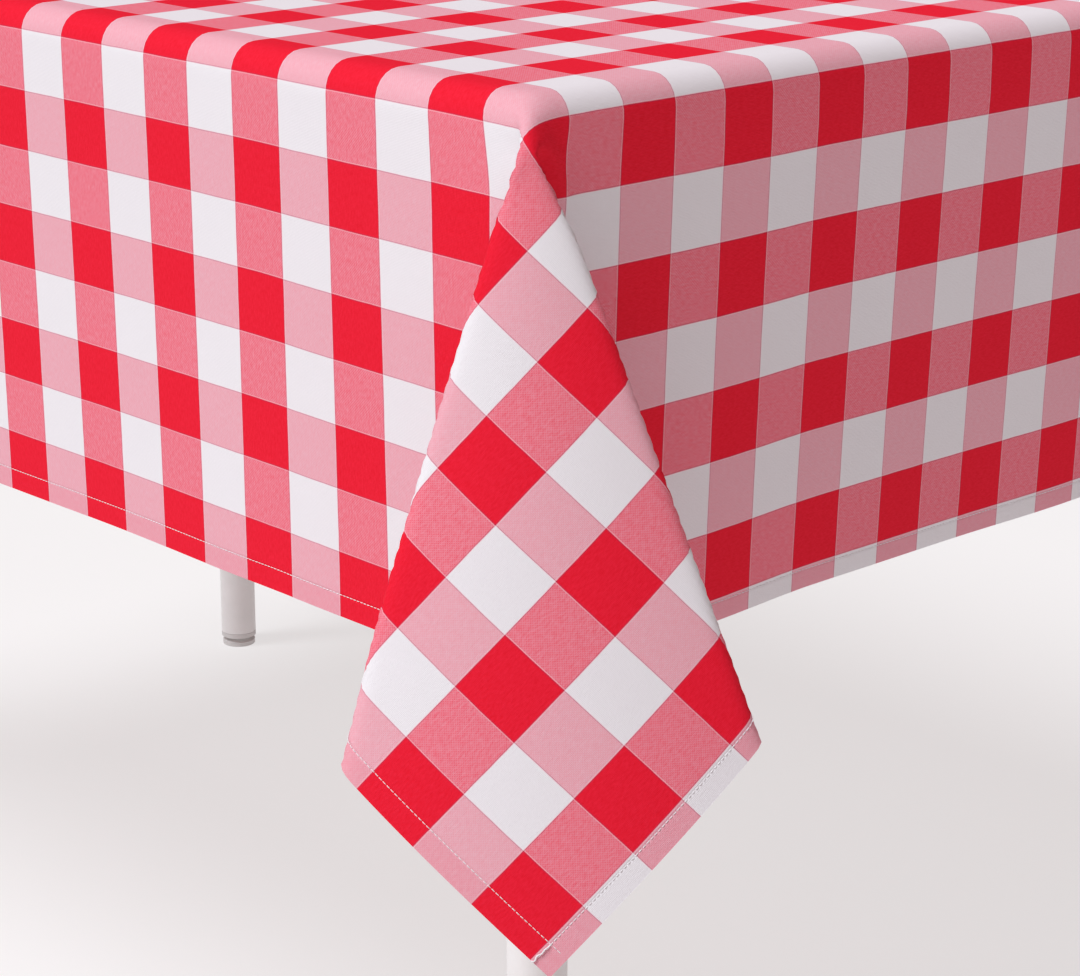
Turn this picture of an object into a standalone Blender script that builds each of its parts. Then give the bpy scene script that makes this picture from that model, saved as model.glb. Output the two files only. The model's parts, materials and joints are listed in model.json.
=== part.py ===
"""A checked tablecloth laid over a four-legged table.

The cloth is one hemmed rectangle that hangs down all four sides and folds into a loose pleat at each corner. Here it
is a set of thin solids that meet edge to edge: the top, four drops with their hems and seams, and at each corner a
cap, an outer fold and the two returns that lead back to the corner. Underneath are the board, its four screwed-on
legs and their levelling feet. The origin is on the floor under the middle of the table, +X along its length.
"""

import math

import bmesh
import bpy
from mathutils import Vector

# Driving dimensions, in metres.
TABLE_LENGTH = 1.220
TABLE_DEPTH = 0.762
TABLE_HEIGHT = 0.744
BOARD_THICKNESS = 0.028
EDGE_RADIUS = 0.014
EDGE_SEGMENTS = 6

CLOTH_LENGTH = 1.778
CLOTH_WIDTH = 1.321
CLOTH_THICKNESS = 0.0012
HEM_WIDTH = 0.012
HEM_THICKNESS = 0.0020
THREAD_DIAMETER = 0.0006

LEG_INSET = 0.060
LEG_DIAMETER = 0.032
LEG_WALL = 0.0015
PLATE_DIAMETER = 0.090
PLATE_THICKNESS = 0.003
PLATE_SCREWS = 3
SCREW_CIRCLE_DIAMETER = 0.066
SCREW_DIAMETER = 0.0045
SCREW_LENGTH = 0.020
SCREW_HEAD_DIAMETER = 0.009
SCREW_HEAD_HEIGHT = 0.0025
PLUG_DEPTH = 0.025
PLUG_FLANGE = 0.004
FOOT_DIAMETER = 0.030
FOOT_HEIGHT = 0.008
STUD_DIAMETER = 0.008
STUD_LENGTH = 0.028

# The corner fold, seen from the table's corner. Its outer face is part of a cone whose tip lies outside and above
# the corner. "Turn" is the angle on the flat cloth away from the diagonal. Sideways and outward are the cone's
# slopes per unit of depth, across and along the diagonal.
FOLD_TIP_PAST_END = 0.022
FOLD_TIP_PAST_SIDE = 0.019
FOLD_TIP_RISE = 0.005
FOLD_HALF_TURN = math.radians(19.0)
FOLD_LEAN = 0.020
FOLD_SPREAD = 1.03
FOLD_OUTWARD = 0.149
FOLD_CURL = 0.57
CAP_DEPTH = 0.030
RETURN_START = 0.10

GAP = 0.0003
ROUND_STEPS = 24
SCREW_STEPS = 12

# Worked out from them.
CLOTH_MID = GAP + CLOTH_THICKNESS / 2
BEND_RADIUS = EDGE_RADIUS + CLOTH_MID
LEG_TOP = TABLE_HEIGHT - BOARD_THICKNESS - GAP - PLATE_THICKNESS - GAP
TUBE_BOTTOM = FOOT_HEIGHT + GAP + PLUG_FLANGE + GAP


def hem_depth(cloth, table):
    """Depth of a drop's lower edge below the board's top face: what the flat top and the bend leave of the cloth."""
    flat = table / 2 - EDGE_RADIUS
    bend = BEND_RADIUS * math.pi / 2
    return EDGE_RADIUS + cloth / 2 - flat - bend


END_DEPTH = hem_depth(CLOTH_LENGTH, TABLE_LENGTH)
SIDE_DEPTH = hem_depth(CLOTH_WIDTH, TABLE_DEPTH)


def clear_scene():
    for found in list(bpy.data.objects):
        bpy.data.objects.remove(found, do_unlink=True)


def collection(name):
    made = bpy.data.collections.new(name)
    bpy.context.scene.collection.children.link(made)
    return made


def material(name, colour, roughness, metallic=0.0):
    made = bpy.data.materials.new(name)
    made.use_nodes = True
    shader = made.node_tree.nodes["Principled BSDF"]
    shader.inputs["Base Color"].default_value = (*colour, 1.0)
    shader.inputs["Roughness"].default_value = roughness
    shader.inputs["Metallic"].default_value = metallic
    return made


def add(name, mesh, look, into):
    made = bpy.data.objects.new(name, mesh)
    mesh.materials.append(look)
    into.objects.link(made)
    return made


def mesh_from(name, build):
    """A mesh that build(bm) fills."""
    bm = bmesh.new()
    build(bm)
    bmesh.ops.recalc_face_normals(bm, faces=bm.faces)
    mesh = bpy.data.meshes.new(name)
    bm.to_mesh(mesh)
    bm.free()
    return mesh


def box(name, low, high, look, into):
    """A plain block between two corners."""
    low, high = Vector(low), Vector(high)

    def build(bm):
        bmesh.ops.create_cube(bm, size=1.0)
        bmesh.ops.scale(bm, vec=high - low, verts=bm.verts)

    made = add(name, mesh_from(name, build), look, into)
    made.location = (low + high) / 2
    return made


def turned(name, profile, look, into, ring=False, count=ROUND_STEPS):
    """A piece turned about Z from (radius, height) points that run down its outer side. A ring's profile closes."""

    def build(bm):
        points = [bm.verts.new((radius, 0.0, height)) for radius, height in profile]
        pairs = list(zip(points, points[1:]))
        if ring:
            pairs.append((points[-1], points[0]))
        for pair in pairs:
            bm.edges.new(pair)

    made = add(name, mesh_from(name, build), look, into)
    screw = made.modifiers.new("turn", "SCREW")
    screw.axis = "Z"
    screw.steps = count
    screw.render_steps = count
    screw.use_merge_vertices = True
    screw.merge_threshold = 0.00005
    screw.use_smooth_shade = True
    return made


def sheet(name, rows, thickness, look, into):
    """A thin closed solid of this thickness about a grid of points, given as rows of equal length."""

    def build(bm):
        grid = [[bm.verts.new(point) for point in row] for row in rows]
        for upper, lower in zip(grid, grid[1:]):
            for k in range(len(upper) - 1):
                bm.faces.new((upper[k], lower[k], lower[k + 1], upper[k + 1]))
        bmesh.ops.remove_doubles(bm, verts=bm.verts, dist=0.00002)

    made = add(name, mesh_from(name, build), look, into)
    solid = made.modifiers.new("thickness", "SOLIDIFY")
    solid.thickness = thickness
    solid.offset = 0.0
    solid.use_even_offset = True
    return made


def blend(start, end, share):
    return start + (end - start) * share


def steps(count):
    return [k / count for k in range(count + 1)]


def bend_profile(depth):
    """(outward, height) along a drop's middle surface, from the board's flat top round its edge to this depth."""
    arc = [math.radians(90.0 * k) for k in steps(EDGE_SEGMENTS)]
    points = [
        (BEND_RADIUS * math.sin(turn) - EDGE_RADIUS, BEND_RADIUS * math.cos(turn) - EDGE_RADIUS)
        for turn in arc
    ]
    return points + [(CLOTH_MID, -depth)]


class Corner:
    """One corner of the table. Points are given past its end face, past its side face, and above the board."""

    def __init__(self, name, x_sign, y_sign):
        self.name = name
        self.x_sign = x_sign
        self.y_sign = y_sign

    def point(self, past_end, past_side, height):
        return Vector(
            (
                self.x_sign * (TABLE_LENGTH / 2 + past_end),
                self.y_sign * (TABLE_DEPTH / 2 + past_side),
                TABLE_HEIGHT + height,
            )
        )

    def leg_centre(self):
        return self.point(-LEG_INSET, -LEG_INSET, -TABLE_HEIGHT)


CORNERS = (
    Corner("front_left", -1, -1),
    Corner("front_right", 1, -1),
    Corner("back_left", -1, 1),
    Corner("back_right", 1, 1),
)


def cut(target, cutters):
    """Takes these cutters out of the target with exact Booleans."""
    for cutter in cutters:
        modifier = target.modifiers.new(cutter.name, "BOOLEAN")
        modifier.operation = "DIFFERENCE"
        modifier.solver = "EXACT"
        modifier.object = cutter
        cutter.hide_render = True
        cutter.display_type = "WIRE"


def screw_places(centre):
    """The screws' places round a leg, in plan."""
    radius = SCREW_CIRCLE_DIAMETER / 2
    turns = [math.tau * (k + 0.25) / PLATE_SCREWS for k in range(PLATE_SCREWS)]
    return [centre + Vector((radius * math.cos(turn), radius * math.sin(turn), 0.0)) for turn in turns]


def rod(name, diameter, low, high, place, look, into, count=ROUND_STEPS):
    """A solid round bar between two heights."""
    radius = diameter / 2
    profile = [(0.0, high), (radius, high), (radius, low), (0.0, low)]
    made = turned(name, profile, look, into, count=count)
    made.location = (place.x, place.y, 0.0)
    return made


def build_board(looks, parts, cutters):
    """The board: rounded top edges and upright corners, a square lower edge, and a pilot hole for each screw."""

    def build(bm):
        bmesh.ops.create_cube(bm, size=1.0)
        bmesh.ops.scale(bm, vec=(TABLE_LENGTH, TABLE_DEPTH, BOARD_THICKNESS), verts=bm.verts)
        rounded = [
            edge
            for edge in bm.edges
            if sum(vertex.co.z for vertex in edge.verts) > -BOARD_THICKNESS / 2
        ]
        bmesh.ops.bevel(
            bm,
            geom=rounded,
            offset=EDGE_RADIUS,
            offset_type="OFFSET",
            segments=EDGE_SEGMENTS,
            profile=0.5,
            affect="EDGES",
            clamp_overlap=True,
        )

    board = add("table_top_board", mesh_from("table_top_board", build), looks["laminate"], parts)
    board.location.z = TABLE_HEIGHT - BOARD_THICKNESS / 2
    underside = TABLE_HEIGHT - BOARD_THICKNESS
    depth = SCREW_LENGTH - PLATE_THICKNESS
    holes = [
        rod(
            f"{corner.name}_pilot_{number}",
            SCREW_DIAMETER + 2 * GAP,
            underside - 0.01,
            underside + depth + GAP,
            place,
            looks["laminate"],
            cutters,
            SCREW_STEPS,
        )
        for corner in CORNERS
        for number, place in enumerate(screw_places(corner.leg_centre()), 1)
    ]
    cut(board, holes)


def build_leg(corner, looks, parts, cutters):
    """A leg: plate, screws, tube, threaded plug and levelling foot."""
    centre = corner.leg_centre()
    plate_top = TABLE_HEIGHT - BOARD_THICKNESS - GAP
    plate_bottom = plate_top - PLATE_THICKNESS
    plate = rod(
        f"{corner.name}_leg_plate", PLATE_DIAMETER, plate_bottom, plate_top, centre, looks["steel"], parts
    )
    holes = []
    for number, place in enumerate(screw_places(centre), 1):
        holes.append(
            rod(
                f"{corner.name}_plate_hole_{number}",
                SCREW_DIAMETER + 2 * GAP,
                plate_bottom - 0.01,
                plate_top + 0.01,
                place,
                looks["steel"],
                cutters,
                SCREW_STEPS,
            )
        )
        shank = SCREW_DIAMETER / 2
        head = SCREW_HEAD_DIAMETER / 2
        under_head = plate_bottom - GAP
        tip = under_head + SCREW_LENGTH
        profile = [
            (0.0, tip),
            (shank * 0.4, tip - shank),
            (shank, tip - 2 * shank),
            (shank, under_head),
            (head, under_head),
            (head, under_head - SCREW_HEAD_HEIGHT * 0.4),
            (head * 0.6, under_head - SCREW_HEAD_HEIGHT),
            (0.0, under_head - SCREW_HEAD_HEIGHT),
        ]
        name = f"{corner.name}_leg_screw_{number}"
        screw = turned(name, profile, looks["zinc"], parts, count=SCREW_STEPS)
        screw.location = (place.x, place.y, 0.0)
    cut(plate, holes)

    outer = LEG_DIAMETER / 2
    inner = outer - LEG_WALL
    tube = turned(
        f"{corner.name}_leg_tube",
        [(outer, LEG_TOP), (outer, TUBE_BOTTOM), (inner, TUBE_BOTTOM), (inner, LEG_TOP)],
        looks["steel"],
        parts,
        ring=True,
    )
    tube.location = (centre.x, centre.y, 0.0)

    bore = STUD_DIAMETER / 2 + GAP
    body = inner - GAP
    flange_bottom = FOOT_HEIGHT + GAP
    flange_top = flange_bottom + PLUG_FLANGE
    plug_top = flange_top + PLUG_DEPTH
    plug = turned(
        f"{corner.name}_leg_plug",
        [
            (bore, plug_top),
            (body, plug_top),
            (body, flange_top),
            (outer, flange_top),
            (outer, flange_bottom),
            (bore, flange_bottom),
        ],
        looks["plastic"],
        parts,
        ring=True,
    )
    plug.location = (centre.x, centre.y, 0.0)

    pad = FOOT_DIAMETER / 2
    stud = STUD_DIAMETER / 2
    foot = turned(
        f"{corner.name}_levelling_foot",
        [
            (0.0, FOOT_HEIGHT + STUD_LENGTH),
            (stud, FOOT_HEIGHT + STUD_LENGTH),
            (stud, FOOT_HEIGHT),
            (pad * 0.7, FOOT_HEIGHT),
            (pad, FOOT_HEIGHT * 0.5),
            (pad, 0.0),
            (0.0, 0.0),
        ],
        looks["plastic"],
        parts,
    )
    foot.location = (centre.x, centre.y, 0.0)


def build_cloth_top(looks, parts):
    """The flat part of the cloth, over the board's flat top."""
    half_x = TABLE_LENGTH / 2 - EDGE_RADIUS - GAP / 2
    half_y = TABLE_DEPTH / 2 - EDGE_RADIUS - GAP / 2
    low = TABLE_HEIGHT + GAP
    box(
        "cloth_top",
        (-half_x, -half_y, low),
        (half_x, half_y, low + CLOTH_THICKNESS),
        looks["cloth"],
        parts,
    )


def build_drop(name, along, half, depth, looks, parts):
    """One drop with its hem and seam. along is the way it runs, and it hangs on that way's right-hand side."""
    outward = Vector((along.y, -along.x, 0.0))
    face = TABLE_DEPTH / 2 if abs(outward.y) > 0.5 else TABLE_LENGTH / 2
    reach = half - EDGE_RADIUS - GAP

    def place(run, out, height):
        return along * run + outward * (face + out) + Vector((0.0, 0.0, TABLE_HEIGHT + height))

    hem_top = depth - HEM_WIDTH
    profile = bend_profile(hem_top - GAP)
    start_out, start_height = profile[0]
    profile[0] = (start_out + GAP / 2, start_height)
    rows = [[place(run, out, height) for out, height in profile] for run in (-reach, reach)]
    sheet(f"cloth_{name}_drop", rows, CLOTH_THICKNESS, looks["cloth"], parts)

    hem_mid = GAP + HEM_THICKNESS / 2
    hem_rows = [[place(run, hem_mid, -level) for level in (hem_top, depth)] for run in (-reach, reach)]
    sheet(f"{name}_hem", hem_rows, HEM_THICKNESS, looks["cloth"], parts)

    thread_out = GAP + HEM_THICKNESS + GAP + THREAD_DIAMETER / 2
    thread_level = -(hem_top + THREAD_DIAMETER)
    thread_reach = reach - CLOTH_THICKNESS - GAP
    curve = bpy.data.curves.new(f"{name}_hem_thread", "CURVE")
    curve.dimensions = "3D"
    curve.bevel_depth = THREAD_DIAMETER / 2
    curve.bevel_resolution = 2
    curve.use_fill_caps = True
    spline = curve.splines.new("POLY")
    spline.points.add(1)
    for point, run in zip(spline.points, (-thread_reach, thread_reach)):
        point.co = (*place(run, thread_out, thread_level), 1.0)
    add(f"{name}_hem_thread", curve, looks["thread"], parts)


def fold_point(corner, turn, level):
    """The fold's outer face at an angle from the cloth's diagonal. level is 0 at the cone's tip, 1 at the hem."""
    sideways = FOLD_LEAN + FOLD_SPREAD * turn
    outward = FOLD_OUTWARD - FOLD_CURL * turn * turn
    from_side = math.pi / 4 + turn
    reach = level * min(SIDE_DEPTH / math.cos(from_side), END_DEPTH / math.sin(from_side))
    depth = reach / math.sqrt(1.0 + sideways**2 + outward**2)
    past_end = FOLD_TIP_PAST_END + depth * (outward + sideways) / math.sqrt(2)
    past_side = FOLD_TIP_PAST_SIDE + depth * (outward - sideways) / math.sqrt(2)
    return corner.point(past_end, past_side, FOLD_TIP_RISE - depth)


def build_corner_cap(corner, looks, parts):
    """The cloth over the board's rounded corner: the drops' bend carried round it."""
    profile = bend_profile(CAP_DEPTH)
    rows = []
    for share in steps(EDGE_SEGMENTS):
        turn = math.pi / 2 * share
        row = []
        for out, height in profile:
            radius = out + EDGE_RADIUS - GAP
            row.append(
                corner.point(
                    radius * math.sin(turn) - EDGE_RADIUS + GAP,
                    radius * math.cos(turn) - EDGE_RADIUS + GAP,
                    height,
                )
            )
        rows.append(row)
    sheet(f"cloth_{corner.name}_cap", rows, CLOTH_THICKNESS, looks["cloth"], parts)


def build_fold(corner, looks, parts):
    """The corner's loose pleat: the outer face, and a return from each of its ridges back to the corner."""
    bend = BEND_RADIUS
    top_height = -CAP_DEPTH - GAP - CLOTH_THICKNESS / 2
    upper = []
    lower = []
    for share in steps(16):
        round_corner = math.pi / 2 * share
        upper.append(
            corner.point(
                bend * math.sin(round_corner) - EDGE_RADIUS,
                bend * math.cos(round_corner) - EDGE_RADIUS,
                top_height,
            )
        )
        lower.append(fold_point(corner, blend(-FOLD_HALF_TURN, FOLD_HALF_TURN, share), 1.0))
    rows = [[blend(high, low, share) for high, low in zip(upper, lower)] for share in steps(6)]
    sheet(f"cloth_{corner.name}_outer_fold", rows, CLOTH_THICKNESS, looks["cloth"], parts)

    beside = EDGE_RADIUS - GAP
    past_drop = GAP + HEM_THICKNESS + GAP + CLOTH_THICKNESS / 2
    sides = (
        ("side", upper[0], lower[0], (-beside, past_drop), SIDE_DEPTH),
        ("end", upper[-1], lower[-1], (past_drop, -beside), END_DEPTH),
    )
    for side, ridge_top, ridge_bottom, neck, neck_depth in sides:
        high = blend(ridge_top, ridge_bottom, RETURN_START)
        neck_high = corner.point(*neck, high.z - TABLE_HEIGHT)
        neck_low = corner.point(*neck, -neck_depth)
        inset = 1.6 * CLOTH_THICKNESS
        edge_high = high + (neck_high - high).normalized() * inset
        edge_low = ridge_bottom + (neck_low - ridge_bottom).normalized() * inset
        sheet(
            f"cloth_{corner.name}_{side}_return",
            [[edge_high, neck_high], [edge_low, neck_low]],
            CLOTH_THICKNESS,
            looks["cloth"],
            parts,
        )


def main():
    clear_scene()
    parts = collection("tablecloth_on_table")
    cutters = collection("cutters")
    looks = {
        "cloth": material("cloth", (0.80, 0.22, 0.28), 0.9),
        "thread": material("thread", (0.95, 0.93, 0.93), 0.7),
        "laminate": material("laminate", (0.86, 0.86, 0.85), 0.4),
        "steel": material("white_steel", (0.88, 0.88, 0.87), 0.35),
        "plastic": material("plastic", (0.80, 0.80, 0.79), 0.5),
        "zinc": material("zinc", (0.62, 0.63, 0.65), 0.35, 1.0),
    }
    build_board(looks, parts, cutters)
    for corner in CORNERS:
        build_leg(corner, looks, parts, cutters)
    build_cloth_top(looks, parts)
    half_length, half_depth = TABLE_LENGTH / 2, TABLE_DEPTH / 2
    build_drop("front", Vector((1.0, 0.0, 0.0)), half_length, SIDE_DEPTH, looks, parts)
    build_drop("back", Vector((-1.0, 0.0, 0.0)), half_length, SIDE_DEPTH, looks, parts)
    build_drop("right", Vector((0.0, 1.0, 0.0)), half_depth, END_DEPTH, looks, parts)
    build_drop("left", Vector((0.0, -1.0, 0.0)), half_depth, END_DEPTH, looks, parts)
    for corner in CORNERS:
        build_corner_cap(corner, looks, parts)
        build_fold(corner, looks, parts)


main()
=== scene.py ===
import json

import bmesh
import bpy
import numpy as np
from mathutils import Matrix, Vector

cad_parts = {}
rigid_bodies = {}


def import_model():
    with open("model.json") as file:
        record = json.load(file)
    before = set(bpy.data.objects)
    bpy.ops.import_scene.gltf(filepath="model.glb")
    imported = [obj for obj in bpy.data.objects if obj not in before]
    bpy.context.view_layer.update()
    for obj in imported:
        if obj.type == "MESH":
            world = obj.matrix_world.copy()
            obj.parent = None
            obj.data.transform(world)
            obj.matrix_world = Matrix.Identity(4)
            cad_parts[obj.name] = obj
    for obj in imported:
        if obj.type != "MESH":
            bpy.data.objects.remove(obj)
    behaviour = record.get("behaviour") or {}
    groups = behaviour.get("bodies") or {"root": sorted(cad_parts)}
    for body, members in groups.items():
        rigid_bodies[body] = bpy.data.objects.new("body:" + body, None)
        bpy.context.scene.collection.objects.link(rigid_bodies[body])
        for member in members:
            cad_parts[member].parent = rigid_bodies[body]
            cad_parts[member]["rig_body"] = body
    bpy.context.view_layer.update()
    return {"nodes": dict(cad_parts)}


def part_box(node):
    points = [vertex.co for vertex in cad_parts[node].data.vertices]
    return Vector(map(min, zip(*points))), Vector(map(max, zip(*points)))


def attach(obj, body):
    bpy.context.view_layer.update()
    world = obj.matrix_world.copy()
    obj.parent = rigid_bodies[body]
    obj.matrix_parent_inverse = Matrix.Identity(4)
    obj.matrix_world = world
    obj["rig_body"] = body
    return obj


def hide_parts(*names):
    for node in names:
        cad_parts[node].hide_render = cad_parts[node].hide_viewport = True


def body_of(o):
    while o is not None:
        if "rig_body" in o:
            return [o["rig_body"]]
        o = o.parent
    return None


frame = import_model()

scene = bpy.context.scene
nodes = frame["nodes"]


# Stage. The table stands on a plain white studio floor, lit by one wide overhead light from the front
# and by a weak even sky. A long lens looks slightly down on the front right corner of the table.
board_high = np.array(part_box("table_top_board")[1])
HALF_LENGTH = board_high[0]
HALF_DEPTH = board_high[1]
TABLE_TOP = board_high[2]

VIEW_TURN = np.radians(46.907)
VIEW_TILT = np.radians(17.126)
VIEW_DISTANCE = 1.3625
VIEW_ASIDE = 0.0044
VIEW_BELOW = -0.1758
VIEW_LENS = 100.56

cos_turn, sin_turn = np.cos(VIEW_TURN), np.sin(VIEW_TURN)
cos_tilt, sin_tilt = np.cos(VIEW_TILT), np.sin(VIEW_TILT)
view_back = Vector((sin_turn * cos_tilt, -cos_turn * cos_tilt, sin_tilt))
view_right = Vector((cos_turn, sin_turn, 0.0))
view_up = view_back.cross(view_right)
view_corner = Vector((HALF_LENGTH + 0.001, -HALF_DEPTH - 0.001, TABLE_TOP + 0.001))
eye = view_corner + VIEW_DISTANCE * view_back + VIEW_ASIDE * view_right + VIEW_BELOW * view_up
lens = bpy.data.cameras.new("view_lens")
lens.lens = VIEW_LENS
lens.sensor_width = 36.0
lens.clip_start = 0.05
lens.clip_end = 200.0
camera = bpy.data.objects.new("view", lens)
camera.matrix_world = Matrix.Translation(eye) @ Matrix((view_right, view_up, view_back)).transposed().to_4x4()
scene.collection.objects.link(camera)
scene.camera = camera
scene.view_settings.view_transform = "Standard"

key = bpy.data.objects.new("overhead_light", bpy.data.lights.new("overhead_light", "SUN"))
key.data.energy = 2.95
key.data.angle = np.radians(28.0)
key.data.color = (0.975, 1.0, 1.035)
key.rotation_euler = Vector((-0.10, -0.51, 0.85)).to_track_quat("Z", "Y").to_euler()
scene.collection.objects.link(key)

sky = bpy.data.worlds.new("studio_sky")
scene.world = sky
sky.use_nodes = True
sky_nodes, sky_links = sky.node_tree.nodes, sky.node_tree.links
glow, backdrop = sky_nodes["Background"], sky_nodes.new("ShaderNodeBackground")
seen, either = sky_nodes.new("ShaderNodeLightPath"), sky_nodes.new("ShaderNodeMixShader")
glow.inputs["Color"].default_value = (1.0, 0.58, 0.55, 1.0)
glow.inputs["Strength"].default_value = 0.20
backdrop.inputs["Color"].default_value = (0.95, 0.95, 0.95, 1.0)
sky_links.new(seen.outputs["Is Camera Ray"], either.inputs[0])
sky_links.new(glow.outputs[0], either.inputs[1])
sky_links.new(backdrop.outputs[0], either.inputs[2])
sky_links.new(either.outputs[0], sky_nodes["World Output"].inputs["Surface"])


class Signal:
    """One shader output. Adding, subtracting, scaling or dividing it adds the Math node that does so."""

    def __init__(self, finish, socket):
        self.finish, self.socket = finish, socket

    def maths(self, operation, *numbers, **settings):
        return self.finish.add("ShaderNodeMath", {"operation": operation, **settings}, numbers)

    def __add__(self, other):
        return self.maths("ADD", self, other)

    def __sub__(self, other):
        return self.maths("SUBTRACT", self, other)

    def __rsub__(self, other):
        return self.maths("SUBTRACT", other, self)

    def __mul__(self, other):
        return self.maths("MULTIPLY", self, other)

    def __truediv__(self, other):
        return self.maths("DIVIDE", self, other)

    __radd__ = __add__

    def sine(self):
        """The sine of the value in radians."""
        return self.maths("SINE", self)

    def size(self):
        """The value without its sign."""
        return self.maths("ABSOLUTE", self)

    def held(self):
        """The value kept between 0 and 1."""
        return self.maths("ADD", self, 0.0, use_clamp=True)


class Finish:
    """A material named for what the piece is finished with. fixed gives the shader's constant values."""

    def __init__(self, name, **fixed):
        self.material = bpy.data.materials.new(name)
        self.material.use_nodes = True
        self.tree = self.material.node_tree
        self.shader = self.tree.nodes["Principled BSDF"]
        for socket, number in fixed.items():
            self.shader.inputs[socket.replace("_", " ")].default_value = number

    def add(self, kind, settings=None, sockets=(), out=0):
        """One node of any kind: settings first, then each socket's value or link, by place or by name."""
        node = self.tree.nodes.new(kind)
        for setting, wanted in (settings or {}).items():
            setattr(node, setting, wanted)
        self.feed(node, sockets)
        return Signal(self, node.outputs[out])

    def feed(self, node, sockets):
        """Gives each socket its link or its constant value."""
        pairs = sockets.items() if isinstance(sockets, dict) else enumerate(sockets)
        for socket, given in pairs:
            if isinstance(given, Signal):
                self.tree.links.new(given.socket, node.inputs[socket])
            elif given is not None:
                node.inputs[socket].default_value = given

    def surface(self, **sockets):
        """What the surface shader reads, by the socket's name."""
        self.feed(self.shader, {name.replace("_", " "): given for name, given in sockets.items()})

    def place(self, layer=None):
        """Where a point is: its flat coordinates when layer names a UV map, else its place on the piece."""
        if layer:
            return self.add("ShaderNodeUVMap", {"uv_map": layer})
        return self.add("ShaderNodeTexCoord", {}, (), "Object")

    def parts_of(self, vector):
        """The three parts of a vector."""
        return [self.add("ShaderNodeSeparateXYZ", {}, (vector,), out) for out in (0, 1, 2)]

    def speckle(self, place, scale, detail=2.0, roughness=0.5):
        """Fine noise from 0 to 1."""
        sockets = {"Vector": place, "Scale": scale, "Detail": detail, "Roughness": roughness}
        return self.add("ShaderNodeTexNoise", {}, sockets, "Fac")

    def blend(self, share, first, second):
        """The first colour, turning into the second as share goes from 0 to 1."""
        sockets = {0: share, 6: first, 7: second}
        return self.add("ShaderNodeMix", {"data_type": "RGBA"}, sockets, 2)

    def relief(self, height, depth, strength=1.0):
        """Bumps as deep as depth where height goes from 0 to 1."""
        sockets = {"Height": height, "Distance": depth, "Strength": strength}
        return self.add("ShaderNodeBump", {}, sockets)


FLOOR_SPAN = 60.0
floor_mesh = bpy.data.meshes.new("studio_floor")
floor_square = np.array([(-1, -1), (1, -1), (1, 1), (-1, 1)]) * FLOOR_SPAN / 2
floor_mesh.from_pydata([(x, y, 0.0) for x, y in floor_square.tolist()], [], [(0, 1, 2, 3)])
floor_look = Finish("white_floor", Base_Color=(0.24, 0.24, 0.24, 1.0), Roughness=0.9)
floor_look.surface(Emission_Color=(1.0, 0.985, 0.985, 1.0), Emission_Strength=0.66)
floor_mesh.materials.append(floor_look.material)
floor = bpy.data.objects.new("studio_floor", floor_mesh)
scene.collection.objects.link(floor)


# Cloth. One piece of yarn-dyed cotton check, cut longer and wider than the board and laid over it, so that
# it lies flat on top, bends over the rounded edge, hangs straight down the sides and hangs as one loose
# cone-shaped pleat at each corner.
CLOTH_LENGTH = 1.778
CLOTH_WIDTH = 1.321
CLOTH_THICKNESS = 0.0005
EDGE_RADIUS = 0.014          # the board's rounded edge
LIFT = 0.0010                # from the board to the cloth's outer face
BEND = EDGE_RADIUS + LIFT
SHARP = 2 * EDGE_RADIUS - BEND * np.pi / 2   # flat distance to depth below the board's top
END_DROP = CLOTH_LENGTH / 2 - HALF_LENGTH
SIDE_DROP = CLOTH_WIDTH / 2 - HALF_DEPTH

PLEAT_TIP = np.array((0.0038, 0.0038, -0.0017))     # past the end, past the side, above the board's top
PLEAT_SHIFT = np.array((-0.0024, 0.0022))           # where that tip is on the flat cloth
PLEAT_LEAN = 0.039           # the middle line's lean towards the end, and how fast the lines spread from it
PLEAT_SPREAD = 1.03
PLEAT_OUTWARD = 0.205        # how far the middle line stands out, and how the lines beside it fall back
PLEAT_CURL = 0.58
SIDE_RIDGE = np.radians(25.4)
SIDE_RIDGE_CURL = np.radians(1.8)    # the side ridge is wider by this near the hem
END_RIDGE = np.radians(24.3)
END_RIDGE_FLARE = np.radians(9.0)    # the end ridge is narrower by this near the cone's tip
RIDGE_RISE = 0.25                    # the reach where the side ridge starts to widen, and over how much
RIDGE_RUN = 0.07
SIDE_STEM = (0.115, 0.0)     # how far out the inner layers run: a share of the reach, past a first reach
END_STEM = (0.095, 0.06)
STEM_GAP = 0.0014            # half the distance between the two inner layers

CORNER_REACH = 0.24          # how far from the corner the hanging cloth is worked out point by point
CORNER_STEP = 0.005
SETTLE_ROUNDS = 320
IRON_ROUNDS = 2              # light smoothing of the folded part at the end
FACE_HOLD = 0.2              # how firmly the face, and the layers behind it, keep to the first shape
LAYER_HOLD = 0.02
STIFFNESS = 0.03             # how strongly points two steps apart keep their distance
WEIGHT = 3e-6                # the fall in each round
FREE_SWING = 0.92            # how much of its speed a point keeps
TOP_SPEED = 0.002
SMOOTHING = 0.22
PINNED = 0.04                # the border of the worked-out patch, which is held still
GRIPPED = 0.06               # on the board the cloth is held still this far from the edges


def over_edge(past):
    """The bend over the board's edge: flat up to it, a quarter circle round it, then straight down.

    past is the flat distance beyond the board's edge; gives the distance out and the height."""
    turn = np.clip((past + EDGE_RADIUS) / BEND, 0, np.pi / 2)
    out = np.where(past < -EDGE_RADIUS, past, BEND * np.sin(turn) - EDGE_RADIUS)
    height = BEND * np.cos(turn) - EDGE_RADIUS
    height = height - np.maximum(past + EDGE_RADIUS - BEND * np.pi / 2, 0)
    return out, height


def smooth_step(value):
    """Nought below 0, one above 1, and an even S between."""
    value = np.clip(value, 0, 1)
    return value * value * (3 - 2 * value)


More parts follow.
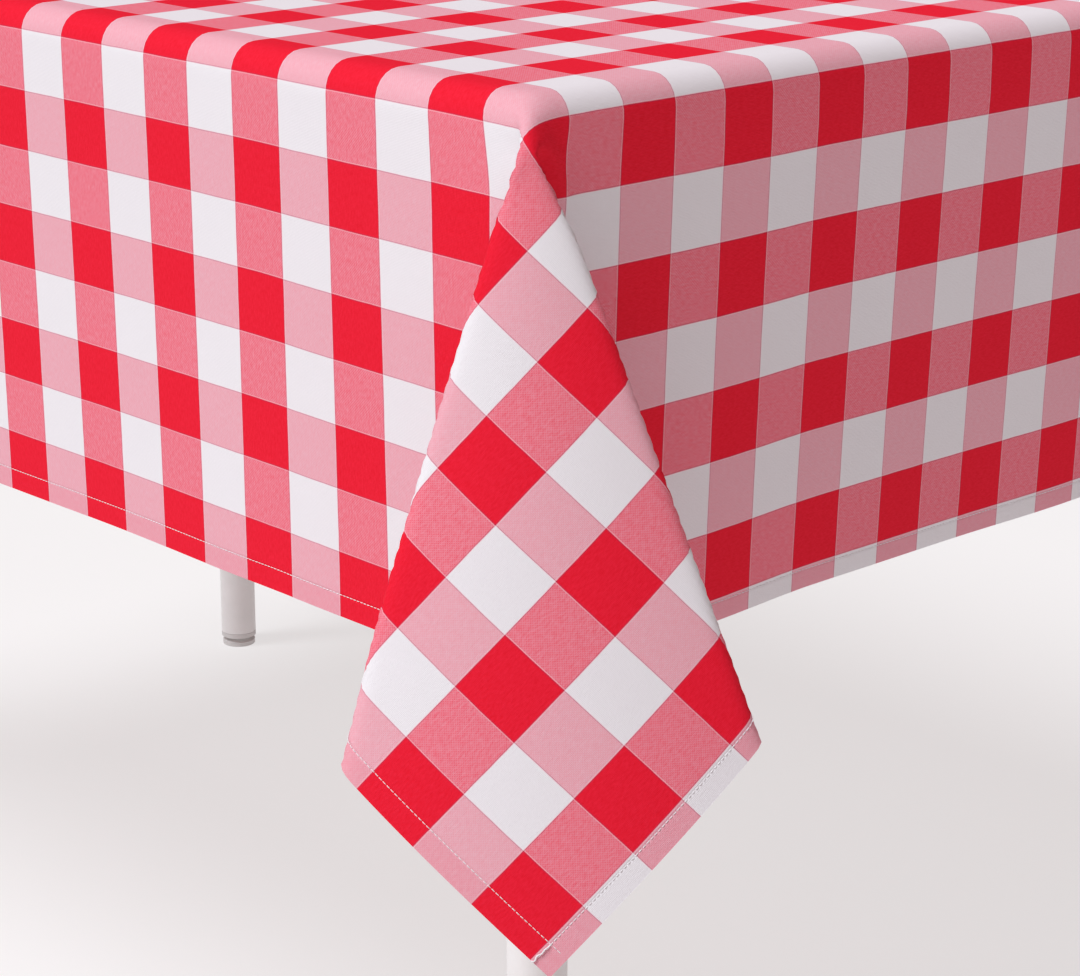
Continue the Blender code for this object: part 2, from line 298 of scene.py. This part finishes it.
def pleat_target(past_end, past_side):
    """The corner pleat before it settles: a cone of straight lines from near the corner, with its returns.

    Each flat point keeps its distance and its angle from the cone's tip. The line at that angle leans
    sideways in proportion to the angle from the diagonal, and outwards by an amount that falls with its
    square. Past a ridge angle the cloth turns back behind the face to a stem, where the two inner layers run
    side by side along the diagonal to the upright under the corner: a point's place on that bent way is in
    proportion to its angle. Gives the points, and how firmly each belongs to the face or to the layers."""
    out_end, fall_end = over_edge(past_end)
    out_side, fall_side = over_edge(past_side)
    points = np.stack([out_end, out_side, fall_end + fall_side - LIFT], axis=-1)
    sharp_end, sharp_side = past_end + SHARP, past_side + SHARP
    beyond = (sharp_end > 0) & (sharp_side > 0)
    angle = np.arctan2(np.maximum(sharp_end, 1e-9), np.maximum(sharp_side, 1e-9))
    reach = np.maximum(np.hypot(sharp_end, sharp_side), 1e-9)

    side_ridge = SIDE_RIDGE + SIDE_RIDGE_CURL * smooth_step((reach - RIDGE_RISE) / RIDGE_RUN)
    end_ridge = END_RIDGE - END_RIDGE_FLARE * np.exp(-reach / RIDGE_RUN)
    held = np.clip(angle, side_ridge, np.pi / 2 - end_ridge)
    tip_end, tip_side = reach * np.sin(held) + PLEAT_SHIFT[0], reach * np.cos(held) + PLEAT_SHIFT[1]
    turn = np.arctan2(tip_end, tip_side) - np.pi / 4
    sideways = PLEAT_LEAN + PLEAT_SPREAD * turn
    outward = PLEAT_OUTWARD - PLEAT_CURL * turn**2
    line = np.stack([outward + sideways, outward - sideways, -np.full_like(turn, np.sqrt(2))], axis=-1)
    line /= np.linalg.norm(line, axis=-1, keepdims=True)
    face = PLEAT_TIP + np.hypot(tip_end, tip_side)[..., None] * line

    on_side = angle < np.pi / 4
    share = np.where(on_side, angle / side_ridge, (np.pi / 2 - angle) / end_ridge)
    slope = np.where(on_side, SIDE_STEM[0], END_STEM[0])
    stem = slope * np.maximum(reach - np.where(on_side, SIDE_STEM[1], END_STEM[1]), 0)
    left = np.where(on_side, STEM_GAP, -STEM_GAP)
    upright = np.stack([-left, left, -reach], axis=-1)
    stem_end = np.stack([stem - left, stem + left, -reach], axis=-1)
    first = np.sqrt(2) * stem
    second = np.linalg.norm(face - stem_end, axis=-1)
    gone = np.clip(share, 0, 1) * (first + second)
    along_stem = np.clip(gone / np.maximum(first, 1e-9), 0, 1)[..., None]
    along_back = np.clip((gone - first) / second, 0, 1)[..., None]
    folded = upright + along_stem * (stem_end - upright) + along_back * (face - stem_end)
    points = np.where(beyond[..., None], folded, points)

    past_ridge = np.minimum(angle - side_ridge, np.pi / 2 - end_ridge - angle)
    firm = FACE_HOLD * np.clip((past_ridge - np.radians(0.4)) / np.radians(3.0), 0, 1)
    firm = firm + LAYER_HOLD * np.clip((-past_ridge - np.radians(5.0)) / np.radians(4.0), 0, 1)
    firm = firm * np.clip((reach - 0.006) / 0.012, 0, 1) * beyond
    return points, firm, beyond & (past_ridge < 0), on_side


def even_out(points, loose, offset, rest, stiffness):
    """Brings every pair of points one offset apart nearer to its rest distance, by the share stiffness of
    what is missing, and divides the move between the two by their looseness."""
    rows, columns = points.shape[:2]
    down, along = offset
    lead = max(down, abs(along))
    for start in range(2 * lead):
        if down:
            first = np.s_[start:rows - down:2 * lead, max(0, -along):columns - max(0, along)]
            second = np.s_[start + down:rows:2 * lead, max(0, along):columns + min(0, along)]
        else:
            first = np.s_[:, start:columns - along:2 * lead]
            second = np.s_[:, start + along:columns:2 * lead]
        gap = points[second] - points[first]
        length = np.sqrt((gap * gap).sum(-1))
        move = stiffness * (length - rest) / length / np.maximum(loose[first] + loose[second], 1e-9)
        gap *= move[..., None]
        points[first] += loose[first][..., None] * gap
        points[second] -= loose[second][..., None] * gap


def settled_corner(past_end, past_side):
    """One corner of the cloth after it has hung: pulled down by its weight, kept at its woven lengths, bent
    gently rather than sharply, kept outside the board, which is taken to go on downwards, and kept on its own
    side of the stem's two layers."""
    grid_end, grid_side = np.meshgrid(past_end, past_side, indexing="ij")
    target, firm, inner, on_side = pleat_target(grid_end, grid_side)
    points = target.copy()
    loose = np.ones(grid_end.shape)
    loose[(grid_end < PINNED - CORNER_REACH) | (grid_side < PINNED - CORNER_REACH)] = 0
    on_board = (grid_end < -EDGE_RADIUS) & (grid_side < -EDGE_RADIUS)
    loose[on_board & ((grid_end < -GRIPPED) | (grid_side < -GRIPPED))] = 0
    woven = [((1, 0), 1.0), ((0, 1), 1.0), ((1, 1), 0.4), ((1, -1), 0.4)]
    woven += [((2, 0), STIFFNESS), ((0, 2), STIFFNESS)]
    speed = np.zeros_like(points)
    weight = np.array((0.0, 0.0, -WEIGHT))
    apart = np.where(on_side, 1.0, -1.0) * inner
    beyond_edge = (grid_end > 0.012) & (grid_side > 0.012)
    for _ in range(SETTLE_ROUNDS):
        before = points.copy()
        points += speed * FREE_SWING + weight * loose[..., None]
        points += (firm * loose)[..., None] * (target - points)
        for offset, stiffness in woven:
            even_out(points, loose, offset, CORNER_STEP * np.hypot(*offset), stiffness)
        inside = np.maximum(points + EDGE_RADIUS, 0)
        depth = np.maximum(np.linalg.norm(inside, axis=-1), 1e-9)
        push = np.where((depth < BEND) & (depth > 1e-8), BEND / depth - 1, 0) * loose
        points += push[..., None] * inside
        crossed = np.maximum(2 * STEM_GAP - apart * (points[..., 1] - points[..., 0]), 0) * apart / 2
        points[..., 0] -= crossed
        points[..., 1] += crossed
        speed = np.clip(points - before, -TOP_SPEED, TOP_SPEED)
    free = loose * beyond_edge
    for _ in range(IRON_ROUNDS):
        middle = points.copy()
        middle[1:-1] += points[:-2] / 2 + points[2:] / 2 - points[1:-1]
        middle[:, 1:-1] += points[:, :-2] / 2 + points[:, 2:] / 2 - points[:, 1:-1]
        points += (SMOOTHING * free)[..., None] * (middle - points)
    return points


corner_end = END_DROP - CORNER_STEP * np.arange(round((END_DROP + CORNER_REACH) / CORNER_STEP), -1, -1)
corner_side = SIDE_DROP - CORNER_STEP * np.arange(round((SIDE_DROP + CORNER_REACH) / CORNER_STEP), -1, -1)
corner = settled_corner(corner_end, corner_side)


def smooth_read(at, steps):
    """Weights that read a smooth curve through evenly spaced points at any places between them: each is a
    cubic through the two nearest points with the slope of their neighbours."""
    place = np.clip((at - steps[0]) / (steps[1] - steps[0]), 0, len(steps) - 1)
    cell = np.minimum(place.astype(int), len(steps) - 2)
    t = place - cell
    first, second = -t + 2 * t**2 - t**3, 2 - 5 * t**2 + 3 * t**3
    third, fourth = t + 4 * t**2 - 3 * t**3, t**3 - t**2
    cubic = np.stack([first, second, third, fourth])
    near = np.clip(cell[:, None] + np.arange(-1, 3), 0, len(steps) - 1)
    weights = np.zeros((len(at), len(steps)))
    np.add.at(weights, (np.arange(len(at))[:, None], near), cubic.T / 2)
    return weights


# how far each drop leans in for each metre below the board, and its slow ripple
LEANS = {"front": 0.0098, "back": 0.022, "left": 0.028, "right": 0.040}
RIPPLE = 0.0011
DRIFT = 0.010                # how far the front and back drops slide towards the pleat, and the end drops
DRIFT_END = 0.008
DRIFT_REACH = 0.060
BEND_DEPTH = 0.03            # a drop's lean starts this far past the edge, and fades out near the corner
LEAN_FADE = 0.11
DRIFT_FADE = 0.022


def cloth_at(along, across):
    """The cloth's outer face at every pair of flat coordinates, measured from the cloth's middle.

    Each quarter is the same fold: the bend over the board's edges away from the corner, and the settled
    corner near it. A drop then leans inwards in proportion to its depth, with a slow ripple along it, and
    slides a little along its own side towards the pleat that pulls it."""
    past_end, past_side = np.abs(along) - HALF_LENGTH, np.abs(across) - HALF_DEPTH
    out_end, fall_end = over_edge(past_end)
    out_side, fall_side = over_edge(past_side)
    flat = np.zeros((len(along), len(across)))
    points = np.stack(
        [flat + out_end[:, None], flat + out_side, fall_end[:, None] + fall_side - LIFT], axis=-1
    )
    near = np.ix_(past_end > corner_end[0], past_side > corner_side[0])
    read_end = smooth_read(past_end[past_end > corner_end[0]], corner_end)
    read_side = smooth_read(past_side[past_side > corner_side[0]], corner_side)
    points[near] = np.einsum("ai,ijk,bj->abk", read_end, corner, read_side, optimize=True)

    below_end = np.maximum(past_end - BEND_DEPTH, 0)[:, None]
    below_side = np.maximum(past_side - BEND_DEPTH, 0)
    clear_end = smooth_step(-past_end / LEAN_FADE)[:, None]
    clear_side = smooth_step(-past_side / LEAN_FADE)
    lean_end = np.where(along > 0, LEANS["right"], LEANS["left"])[:, None]
    lean_side = np.where(across > 0, LEANS["back"], LEANS["front"])
    ripple_side = RIPPLE * (np.sin(19 * along + 0.6) + 0.6 * np.sin(31 * along + 2.0))[:, None] / SIDE_DROP
    ripple_end = RIPPLE * (np.sin(23 * across + 1.1) + 0.5 * np.sin(41 * across)) / END_DROP
    near_end = np.exp(-((past_end / DRIFT_REACH) ** 2)) * smooth_step(1 - past_end / DRIFT_FADE)
    near_side = np.exp(-((past_side / DRIFT_REACH) ** 2)) * smooth_step(1 - past_side / DRIFT_FADE)
    points[..., 0] += DRIFT * near_end[:, None] * smooth_step((past_side + 0.012) / 0.055)
    points[..., 1] += DRIFT_END * near_side * smooth_step((past_end + 0.012) / 0.055)[:, None]
    points[..., 0] += below_end * clear_side * (ripple_end - lean_end)
    points[..., 1] += below_side * clear_end * (ripple_side - lean_side)
    places = points + np.array((HALF_LENGTH, HALF_DEPTH, TABLE_TOP))
    places[..., 0] *= np.where(along < 0, -1, 1)[:, None]
    places[..., 1] *= np.where(across < 0, -1, 1)
    return places


def cloth_normals(along, across):
    """The outward direction at the same points: the two directions of the weave crossed."""
    small = 0.0008
    warp = cloth_at(np.minimum(along + small, CLOTH_LENGTH / 2), across)
    warp -= cloth_at(np.maximum(along - small, -CLOTH_LENGTH / 2), across)
    weft = cloth_at(along, np.minimum(across + small, CLOTH_WIDTH / 2))
    weft -= cloth_at(along, np.maximum(across - small, -CLOTH_WIDTH / 2))
    normal = np.cross(warp, weft)
    return normal / np.linalg.norm(normal, axis=-1, keepdims=True)


def grid_faces(rows, columns, ring=False):
    """Four-sided faces between neighbouring points of a grid, closed round the columns when ring is true."""
    numbers = np.arange(rows * columns).reshape(rows, columns)
    if ring:
        numbers = np.concatenate([numbers, numbers[:, :1]], axis=1)
    sides = (numbers[:-1, :-1], numbers[1:, :-1], numbers[1:, 1:], numbers[:-1, 1:])
    return np.stack(sides, axis=-1).reshape(-1, 4)


def sewn(name, points, faces, flat, finish):
    """A mesh piece from points and faces, with its own flat coordinates, from 0 to 1 over the whole cloth."""
    mesh = bpy.data.meshes.new(name)
    mesh.from_pydata(points.reshape(-1, 3).tolist(), [], faces.tolist())
    mesh.shade_smooth()
    if flat is not None:
        corners = np.empty(len(mesh.loops), dtype=np.int32)
        mesh.loops.foreach_get("vertex_index", corners)
        layer = mesh.uv_layers.new(name="flat")
        share = flat.reshape(-1, 2)[corners] / (CLOTH_LENGTH, CLOTH_WIDTH) + 0.5
        layer.data.foreach_set("uv", share.ravel().astype(np.float32))
    mesh.materials.append(finish.material)
    mesh.update()
    piece = bpy.data.objects.new(name, mesh)
    scene.collection.objects.link(piece)
    return piece


FINE_STEP = 0.004            # between the mesh's points near the corners, and over the flat middle
WIDE_STEP = 0.02
FINE_FROM = 0.07             # how far inside the board's edge the close points start


def fine_steps(half, drop):
    """Flat coordinates across the cloth: close together near the corners, wide over the flat middle."""
    start = half - FINE_FROM
    close = np.linspace(start, half + drop, round((drop + FINE_FROM) / FINE_STEP) + 1)
    middle = np.linspace(0, start, round(start / WIDE_STEP) + 1)
    one_side = np.concatenate([middle[:-1], close])
    return np.concatenate([-one_side[:0:-1], one_side])


CHECK = 0.0375               # the warp stripe; the weft stripe is a little narrower
WEFT_SHARE = 0.9006
WARP_START = HALF_LENGTH + 0.1144 * CHECK
WEFT_START = HALF_DEPTH + 0.2064 * CHECK
WEFT_SEEN = 2 * (WEFT_START + (8 * WEFT_SHARE - 0.02) * CHECK)     # the cloth is cut along a stripe's edge
HEM_WIDTH = 0.012
SEAM_INSET = {"front": 0.0120, "back": 0.0120, "left": 0.0104, "right": 0.0104}

YARN = 0.00075               # from yarn to yarn
WAVER = 0.0005               # how far a stripe's edge wanders
EDGE_CRISP = 22.0            # how sharply one stripe turns into the next
LINE_CRISP = 38.0            # and how thin the pale and dark lines beside each edge are
LINE_ASIDE = 0.030
SEAM_GROOVE = 0.0011         # half the width of the dent along the seam

cotton = Finish("cotton_check", Roughness=0.86, Specular_IOR_Level=0.10)
flat_x, flat_y, _ = cotton.parts_of(cotton.place("flat"))
warp_way = (flat_x - 0.5) * CLOTH_LENGTH
weft_way = (0.5 - flat_y) * CLOTH_WIDTH
on_cloth = cotton.add("ShaderNodeCombineXYZ", {}, (warp_way, weft_way, 0.0))
waver = cotton.speckle(on_cloth, 45.0) - 0.5
warp_wave = ((warp_way + waver * WAVER - WARP_START) * (np.pi / CHECK)).sine()
warp_red = (warp_wave * EDGE_CRISP + 0.5).held()
weft_cut = ((weft_way / WEFT_SEEN + 0.5).held() - 0.5) * WEFT_SEEN
weft_wave = ((weft_cut + waver * WAVER - WEFT_START) * (np.pi / (CHECK * WEFT_SHARE))).sine()
weft_red = (0.5 - weft_wave * EDGE_CRISP).held()
over = (warp_way * (np.pi / YARN)).sine() * (weft_way * (np.pi / YARN)).sine()
long_slub = cotton.add("ShaderNodeVectorMath", {"operation": "MULTIPLY"}, (on_cloth, (1.0, 0.35, 1.0)))
slub = cotton.speckle(long_slub, 900.0, 3.0, 0.65) - 0.5
mottle = over * 0.26 + slub * 1.3
end_seam_shift = HEM_WIDTH - SEAM_INSET["right"]
edge_near = cotton.add(
    "ShaderNodeMath",
    {"operation": "MINIMUM"},
    (CLOTH_LENGTH / 2 + end_seam_shift - warp_way.size(), CLOTH_WIDTH / 2 - weft_way.size()),
)
in_hem = ((HEM_WIDTH - edge_near) * 900.0).held()
faded = (cotton.speckle(on_cloth, 14.0, 3.0) * 0.6 + 0.2).held()
white_yarn = cotton.blend(faded, (0.84, 0.825, 0.86, 1.0), (0.88, 0.875, 0.905, 1.0))
red_yarn = cotton.blend((slub * 1.6 + 0.5).held(), (0.80, 0.006, 0.022, 1.0), (0.90, 0.020, 0.052, 1.0))
rose_share = (mottle + 0.5 + in_hem * 0.25).held()
rose = cotton.blend(rose_share, (0.88, 0.33, 0.40, 1.0), (0.85, 0.10, 0.155, 1.0))
pink_share = (0.5 - mottle * 0.8 + in_hem * 0.3).held()
pink = cotton.blend(pink_share, (0.86, 0.53, 0.60, 1.0), (0.83, 0.33, 0.40, 1.0))
white_warp = cotton.blend(weft_red, white_yarn, pink)
red_warp = cotton.blend(weft_red, rose, red_yarn)
dyed = cotton.blend(warp_red, white_warp, red_warp)
pale_warp = (1.0 - (warp_wave + LINE_ASIDE).size() * LINE_CRISP).held()
pale_weft = (1.0 - (weft_wave - LINE_ASIDE).size() * LINE_CRISP).held()
pale_pick = pale_warp + pale_weft
dark_warp = (1.0 - (warp_wave - LINE_ASIDE).size() * LINE_CRISP).held()
dark_weft = (1.0 - (weft_wave + LINE_ASIDE).size() * LINE_CRISP).held()
dark_pick = dark_warp + dark_weft
dyed = cotton.blend((dark_pick * 0.55).held(), dyed, (0.36, 0.03, 0.10, 1.0))
dyed = cotton.blend((pale_pick * 0.42).held(), dyed, (0.93, 0.86, 0.90, 1.0))
seam = ((SEAM_GROOVE - (edge_near - HEM_WIDTH).size()) * 900.0).held()
warp_bump = (warp_way * (2 * np.pi / YARN)).sine()
weft_bump = (weft_way * (2 * np.pi / YARN)).sine()
yarn_height = warp_bump * 0.14 + weft_bump * 0.14
height = yarn_height + slub * 1.1 - seam * 1.6
cotton.surface(
    Base_Color=dyed,
    Roughness=0.80 + slub * 0.16,
    Normal=cotton.relief(height, 0.00022, 0.7),
)

cloth_along = fine_steps(HALF_LENGTH, END_DROP)
cloth_across = fine_steps(HALF_DEPTH, SIDE_DROP)
cloth_flat = np.stack(np.meshgrid(cloth_along, cloth_across, indexing="ij"), axis=-1)
cloth = sewn(
    "checked_cloth",
    cloth_at(cloth_along, cloth_across),
    grid_faces(len(cloth_along), len(cloth_across)),
    cloth_flat,
    cotton,
)
last = np.array((len(cloth_along), len(cloth_across))) - 1
line_ends = np.empty(len(cloth.data.edges) * 2, dtype=np.int32)
cloth.data.edges.foreach_get("vertices", line_ends)
spots = np.stack(np.divmod(line_ends.reshape(-1, 2), len(cloth_across)), axis=-1)
on_rim = ((spots == 0).all(axis=1) | (spots == last).all(axis=1)).any(axis=1)
cloth.data.attributes.new("sharp_edge", "BOOLEAN", "EDGE").data.foreach_set("value", on_rim)
wall = cloth.modifiers.new("thickness", "SOLIDIFY")
wall.thickness = CLOTH_THICKNESS
wall.offset = -1.0
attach(cloth, "cloth")
SIDES = ("front", "back", "left", "right")
CORNERS = ("front_left", "front_right", "back_left", "back_right")
FOLDS = ("cap", "outer_fold", "side_return", "end_return")
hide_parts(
    "cloth_top",
    *(f"cloth_{side}_drop" for side in SIDES),
    *(f"cloth_{at}_{fold}" for at in CORNERS for fold in FOLDS),
)


# Hems. Each edge of the cloth is turned in twice and stitched down, so a band as wide as the hem, three
# layers thick, lies on the inside of the edge.
HEM_LAYERS = 0.0008
for side in SIDES:
    lengthways = side in ("front", "back")
    sign = -1 if side in ("front", "left") else 1
    half_run = CLOTH_LENGTH / 2 if lengthways else CLOTH_WIDTH / 2 - HEM_WIDTH - 0.0004
    half_out = CLOTH_WIDTH / 2 if lengthways else CLOTH_LENGTH / 2
    fine = fine_steps(HALF_LENGTH, END_DROP) if lengthways else fine_steps(HALF_DEPTH, SIDE_DROP)
    run = np.concatenate([[-half_run], fine[np.abs(fine) < half_run - 0.001], [half_run]])
    inset = np.array((0.0006, 0.0010, 0.004, 0.008, 0.0116, 0.0120))
    out = sign * (half_out - inset)
    places = (run, out) if lengthways else (out, run)
    face, away = cloth_at(*places), cloth_normals(*places)
    if not lengthways:
        face, away = face.transpose(1, 0, 2), away.transpose(1, 0, 2)
    # the band's section: its outer face against the cloth, its inner face a hem's thickness further in
    depth_out = np.full(len(inset), CLOTH_THICKNESS + 0.00005)
    depth_in = depth_out + HEM_LAYERS * np.array((0.75, 1.0, 1.0, 1.0, 1.0, 0.7))
    ring = np.concatenate(
        [face - away * depth_out[:, None], (face - away * depth_in[:, None])[:, ::-1]], axis=1
    )
    flat_out = np.concatenate([out, out[::-1]])
    flat_run, flat_out = np.meshgrid(run, flat_out, indexing="ij")
    flat = np.stack((flat_run, flat_out) if lengthways else (flat_out, flat_run), axis=-1)
    faces = grid_faces(len(run), ring.shape[1], ring=True)
    across = np.arange(len(inset) - 1)
    cap = np.stack([across, across + 1, 2 * len(inset) - 2 - across, 2 * len(inset) - 1 - across], axis=-1)
    far_cap = cap[:, ::-1] + (len(run) - 1) * ring.shape[1]
    faces = np.concatenate([faces, cap, far_cap])
    if lengthways == (sign > 0):
        faces = faces[:, ::-1]
    hem = sewn(f"{side}_turned_hem", ring, faces, flat, cotton)
    hem.data.set_sharp_from_angle(angle=np.radians(50))
    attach(hem, "cloth")
    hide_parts(f"{side}_hem")


# Hem stitches. A lockstitch of white cotton thread holds each hem, a hem's width in from the edge; on the
# outer face every stitch stands up as a short rounded bar that dives into the cloth at both ends.
STITCH_PITCH = 0.0026
STITCH_LENGTH = 0.00235
THREAD_RADIUS = 0.00022
TAIL_RADIUS = 0.00042
TAIL_RUN = (-0.0008, 0.0125)         # from the crossing of the seams to the front edge
thread = Finish("cotton_thread", Roughness=0.75, Sheen_Weight=0.2)
thread_place = thread.place()
fibre = thread.speckle(thread_place, 2600.0, 3.0, 0.6)
thread.surface(
    Base_Color=thread.blend(fibre, (0.74, 0.72, 0.74, 1.0), (0.93, 0.92, 0.94, 1.0)),
    Normal=thread.relief(fibre, 0.00012, 0.6),
)


def swept(path, sideways, upwards, radii, around):
    """Round bars: a ring of the given radius at each point of each path, with the cosine of the turn sideways
    and its sine upwards."""
    turn = np.linspace(0, 2 * np.pi, around, endpoint=False)
    ring = np.cos(turn)[:, None] * sideways[..., None, :] + np.sin(turn)[:, None] * upwards[..., None, :]
    return path[..., None, :] + radii[..., None, None] * ring


for side in SIDES:
    lengthways = side in ("front", "back")
    sign = -1 if side in ("front", "left") else 1
    half_run = (CLOTH_LENGTH if lengthways else CLOTH_WIDTH) / 2 - 0.0035
    seam_line = sign * ((CLOTH_WIDTH if lengthways else CLOTH_LENGTH) / 2 - SEAM_INSET[side])
    starts = np.arange(-half_run, half_run - STITCH_LENGTH, STITCH_PITCH)
    stations = np.array((0.0, 0.12, 0.38, 0.62, 0.88, 1.0))
    run = (starts[:, None] + stations * STITCH_LENGTH).ravel()
    line = np.array([seam_line])
    places = (run, line) if lengthways else (line, run)
    shape = (len(starts), len(stations), 3)
    face = cloth_at(*places).reshape(shape)
    away = cloth_normals(*places).reshape(shape)
    ahead = np.gradient(face, axis=1)
    ahead /= np.linalg.norm(ahead, axis=-1, keepdims=True)
    aside = np.cross(away, ahead)
    rise = THREAD_RADIUS * np.array((-0.9, -0.1, 0.55, 0.55, -0.1, -0.9))
    radii = THREAD_RADIUS * np.array((0.45, 0.85, 1.0, 1.0, 0.85, 0.45))
    path = face + away * rise[:, None]
    rings = swept(path, aside, away, np.broadcast_to(radii, shape[:2]), 6)
    one = grid_faces(len(stations), 6, ring=True)
    per = len(stations) * 6
    cap = np.array(((0, 1, 2, 3), (0, 3, 4, 5)))
    one = np.concatenate([one, cap, cap[:, ::-1] + per - 6])
    faces = (one + np.arange(len(starts))[:, None, None] * per).reshape(-1, 4)
    line_piece = sewn(f"{side}_hem_stitches", rings, faces[:, ::-1], None, thread)
    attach(line_piece, "cloth")
    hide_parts(f"{side}_hem_thread")

# the seam's cut end: a loose tail of the same thread, left at the crossing of the two front right seams
TAIL_POINTS, TAIL_SIDES = 25, 10
tail_share = np.linspace(0, 1, TAIL_POINTS)
tail_start = np.array((CLOTH_LENGTH / 2 - SEAM_INSET["right"], CLOTH_WIDTH / 2 - SEAM_INSET["front"]))
tail_flat = tail_start + tail_share[:, None] * TAIL_RUN
tail_flat[:, 0] += 0.0006 * np.sin(17 * tail_share) * tail_share
tail_grid = (tail_flat[:, 0], -tail_flat[:, 1])
tail_face = np.diagonal(cloth_at(*tail_grid)).T
tail_away = np.diagonal(cloth_normals(*tail_grid)).T
tail_rise = TAIL_RADIUS * (-0.6 + 1.7 * smooth_step(tail_share * 6)) + 0.0004 * np.sin(23 * tail_share) ** 2
tail_path = tail_face + tail_away * tail_rise[:, None]
tail_ahead = np.gradient(tail_path, axis=0)
tail_ahead /= np.linalg.norm(tail_ahead, axis=-1, keepdims=True)
tail_aside = np.cross(tail_away, tail_ahead)
tail_aside /= np.linalg.norm(tail_aside, axis=-1, keepdims=True)
tail_up = np.cross(tail_ahead, tail_aside)
tail_radii = TAIL_RADIUS * np.where((tail_share == 0) | (tail_share == 1), 0.35, 1.0)
tail_rings = swept(tail_path, tail_aside, tail_up, tail_radii, TAIL_SIDES)
tail_caps = np.array(((0, 1, 2, 3), (0, 3, 4, 5), (0, 5, 6, 7), (0, 7, 8, 9)))
tail_far = tail_caps[:, ::-1] + (TAIL_POINTS - 1) * TAIL_SIDES
tail_faces = np.concatenate([grid_faces(TAIL_POINTS, TAIL_SIDES, ring=True), tail_caps, tail_far])
tail = sewn("seam_thread_tail", tail_rings, tail_faces[:, ::-1], None, thread)
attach(tail, "cloth")


# Board. A particle board top with a rounded edge and a pale laminate skin with a fine speckle. The cloth
# hides it until it is lifted off.
laminate = Finish("pale_laminate", Roughness=0.45)
grain = laminate.speckle(laminate.place(), 700.0, 4.0, 0.7)
cloudy = laminate.speckle(laminate.place(), 9.0, 2.0)
laminate.surface(
    Base_Color=laminate.blend(
        (grain * 1.6 - 0.4 + cloudy * 0.2).held(), (0.66, 0.66, 0.65, 1.0), (0.83, 0.83, 0.82, 1.0)
    ),
    Roughness=0.38 + grain * 0.2,
    Normal=laminate.relief(grain, 0.0001, 0.5),
)
nodes["table_top_board"].data.materials.clear()
nodes["table_top_board"].data.materials.append(laminate.material)


# Legs. Steel tubes and steel plates with a white baked powder coat, which has a fine orange-peel skin. The
# plates are screwed up under the board.
def rounded(names, finish):
    """A copy of each listed CAD piece, at the same place and size, with its loose triangles joined so that
    its round faces shade as round and its corners stay crisp, and with its finish."""
    for name in names:
        shape = nodes[name].data.copy()
        joined = bmesh.new()
        joined.from_mesh(shape)
        bmesh.ops.remove_doubles(joined, verts=joined.verts, dist=1e-5)
        joined.to_mesh(shape)
        if "custom_normal" in shape.attributes:
            shape.attributes.remove(shape.attributes["custom_normal"])
        joined.free()
        shape.shade_smooth()
        shape.set_sharp_from_angle(angle=np.radians(32))
        shape.materials.clear()
        shape.materials.append(finish.material)
        piece = bpy.data.objects.new(f"{name}_finished", shape)
        scene.collection.objects.link(piece)
        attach(piece, body_of(nodes[name])[0])
        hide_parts(name)


powder = Finish("white_powder_coat", Roughness=0.4)
peel = powder.speckle(powder.place(), 520.0, 2.0)
scuff = powder.speckle(powder.place(), 22.0, 4.0, 0.7)
powder.surface(
    Base_Color=powder.blend((scuff * 1.4 - 0.3).held(), (0.80, 0.80, 0.79, 1.0), (0.90, 0.90, 0.90, 1.0)),
    Roughness=0.30 + scuff * 0.22,
    Normal=powder.relief(peel, 0.0001, 0.35),
)
rounded([f"{at}_leg_{part}" for at in CORNERS for part in ("tube", "plate")], powder)

# Plugs and feet. Moulded grey-white plastic with a fine moulded grain. A plug is pressed into each tube, and
# the foot's stud screws into it.
plastic = Finish("moulded_plastic", Roughness=0.5)
mould = plastic.speckle(plastic.place(), 1600.0, 2.0)
plastic.surface(
    Base_Color=plastic.blend(mould, (0.62, 0.62, 0.61, 1.0), (0.72, 0.72, 0.71, 1.0)),
    Roughness=0.42 + mould * 0.18,
    Normal=plastic.relief(mould, 0.00006, 0.6),
)
rounded([f"{at}_leg_plug" for at in CORNERS] + [f"{at}_levelling_foot" for at in CORNERS], plastic)

# Screws. Bright zinc-plated steel, three to each plate, driven up through it into the board.
zinc = Finish("zinc_plate", Roughness=0.35, Metallic=1.0)
brushed = zinc.speckle(zinc.place(), 1200.0, 3.0)
zinc.surface(
    Base_Color=zinc.blend(brushed, (0.52, 0.54, 0.56, 1.0), (0.70, 0.71, 0.73, 1.0)),
    Roughness=0.24 + brushed * 0.2,
)
rounded([f"{at}_leg_screw_{count}" for at in CORNERS for count in (1, 2, 3)], zinc)
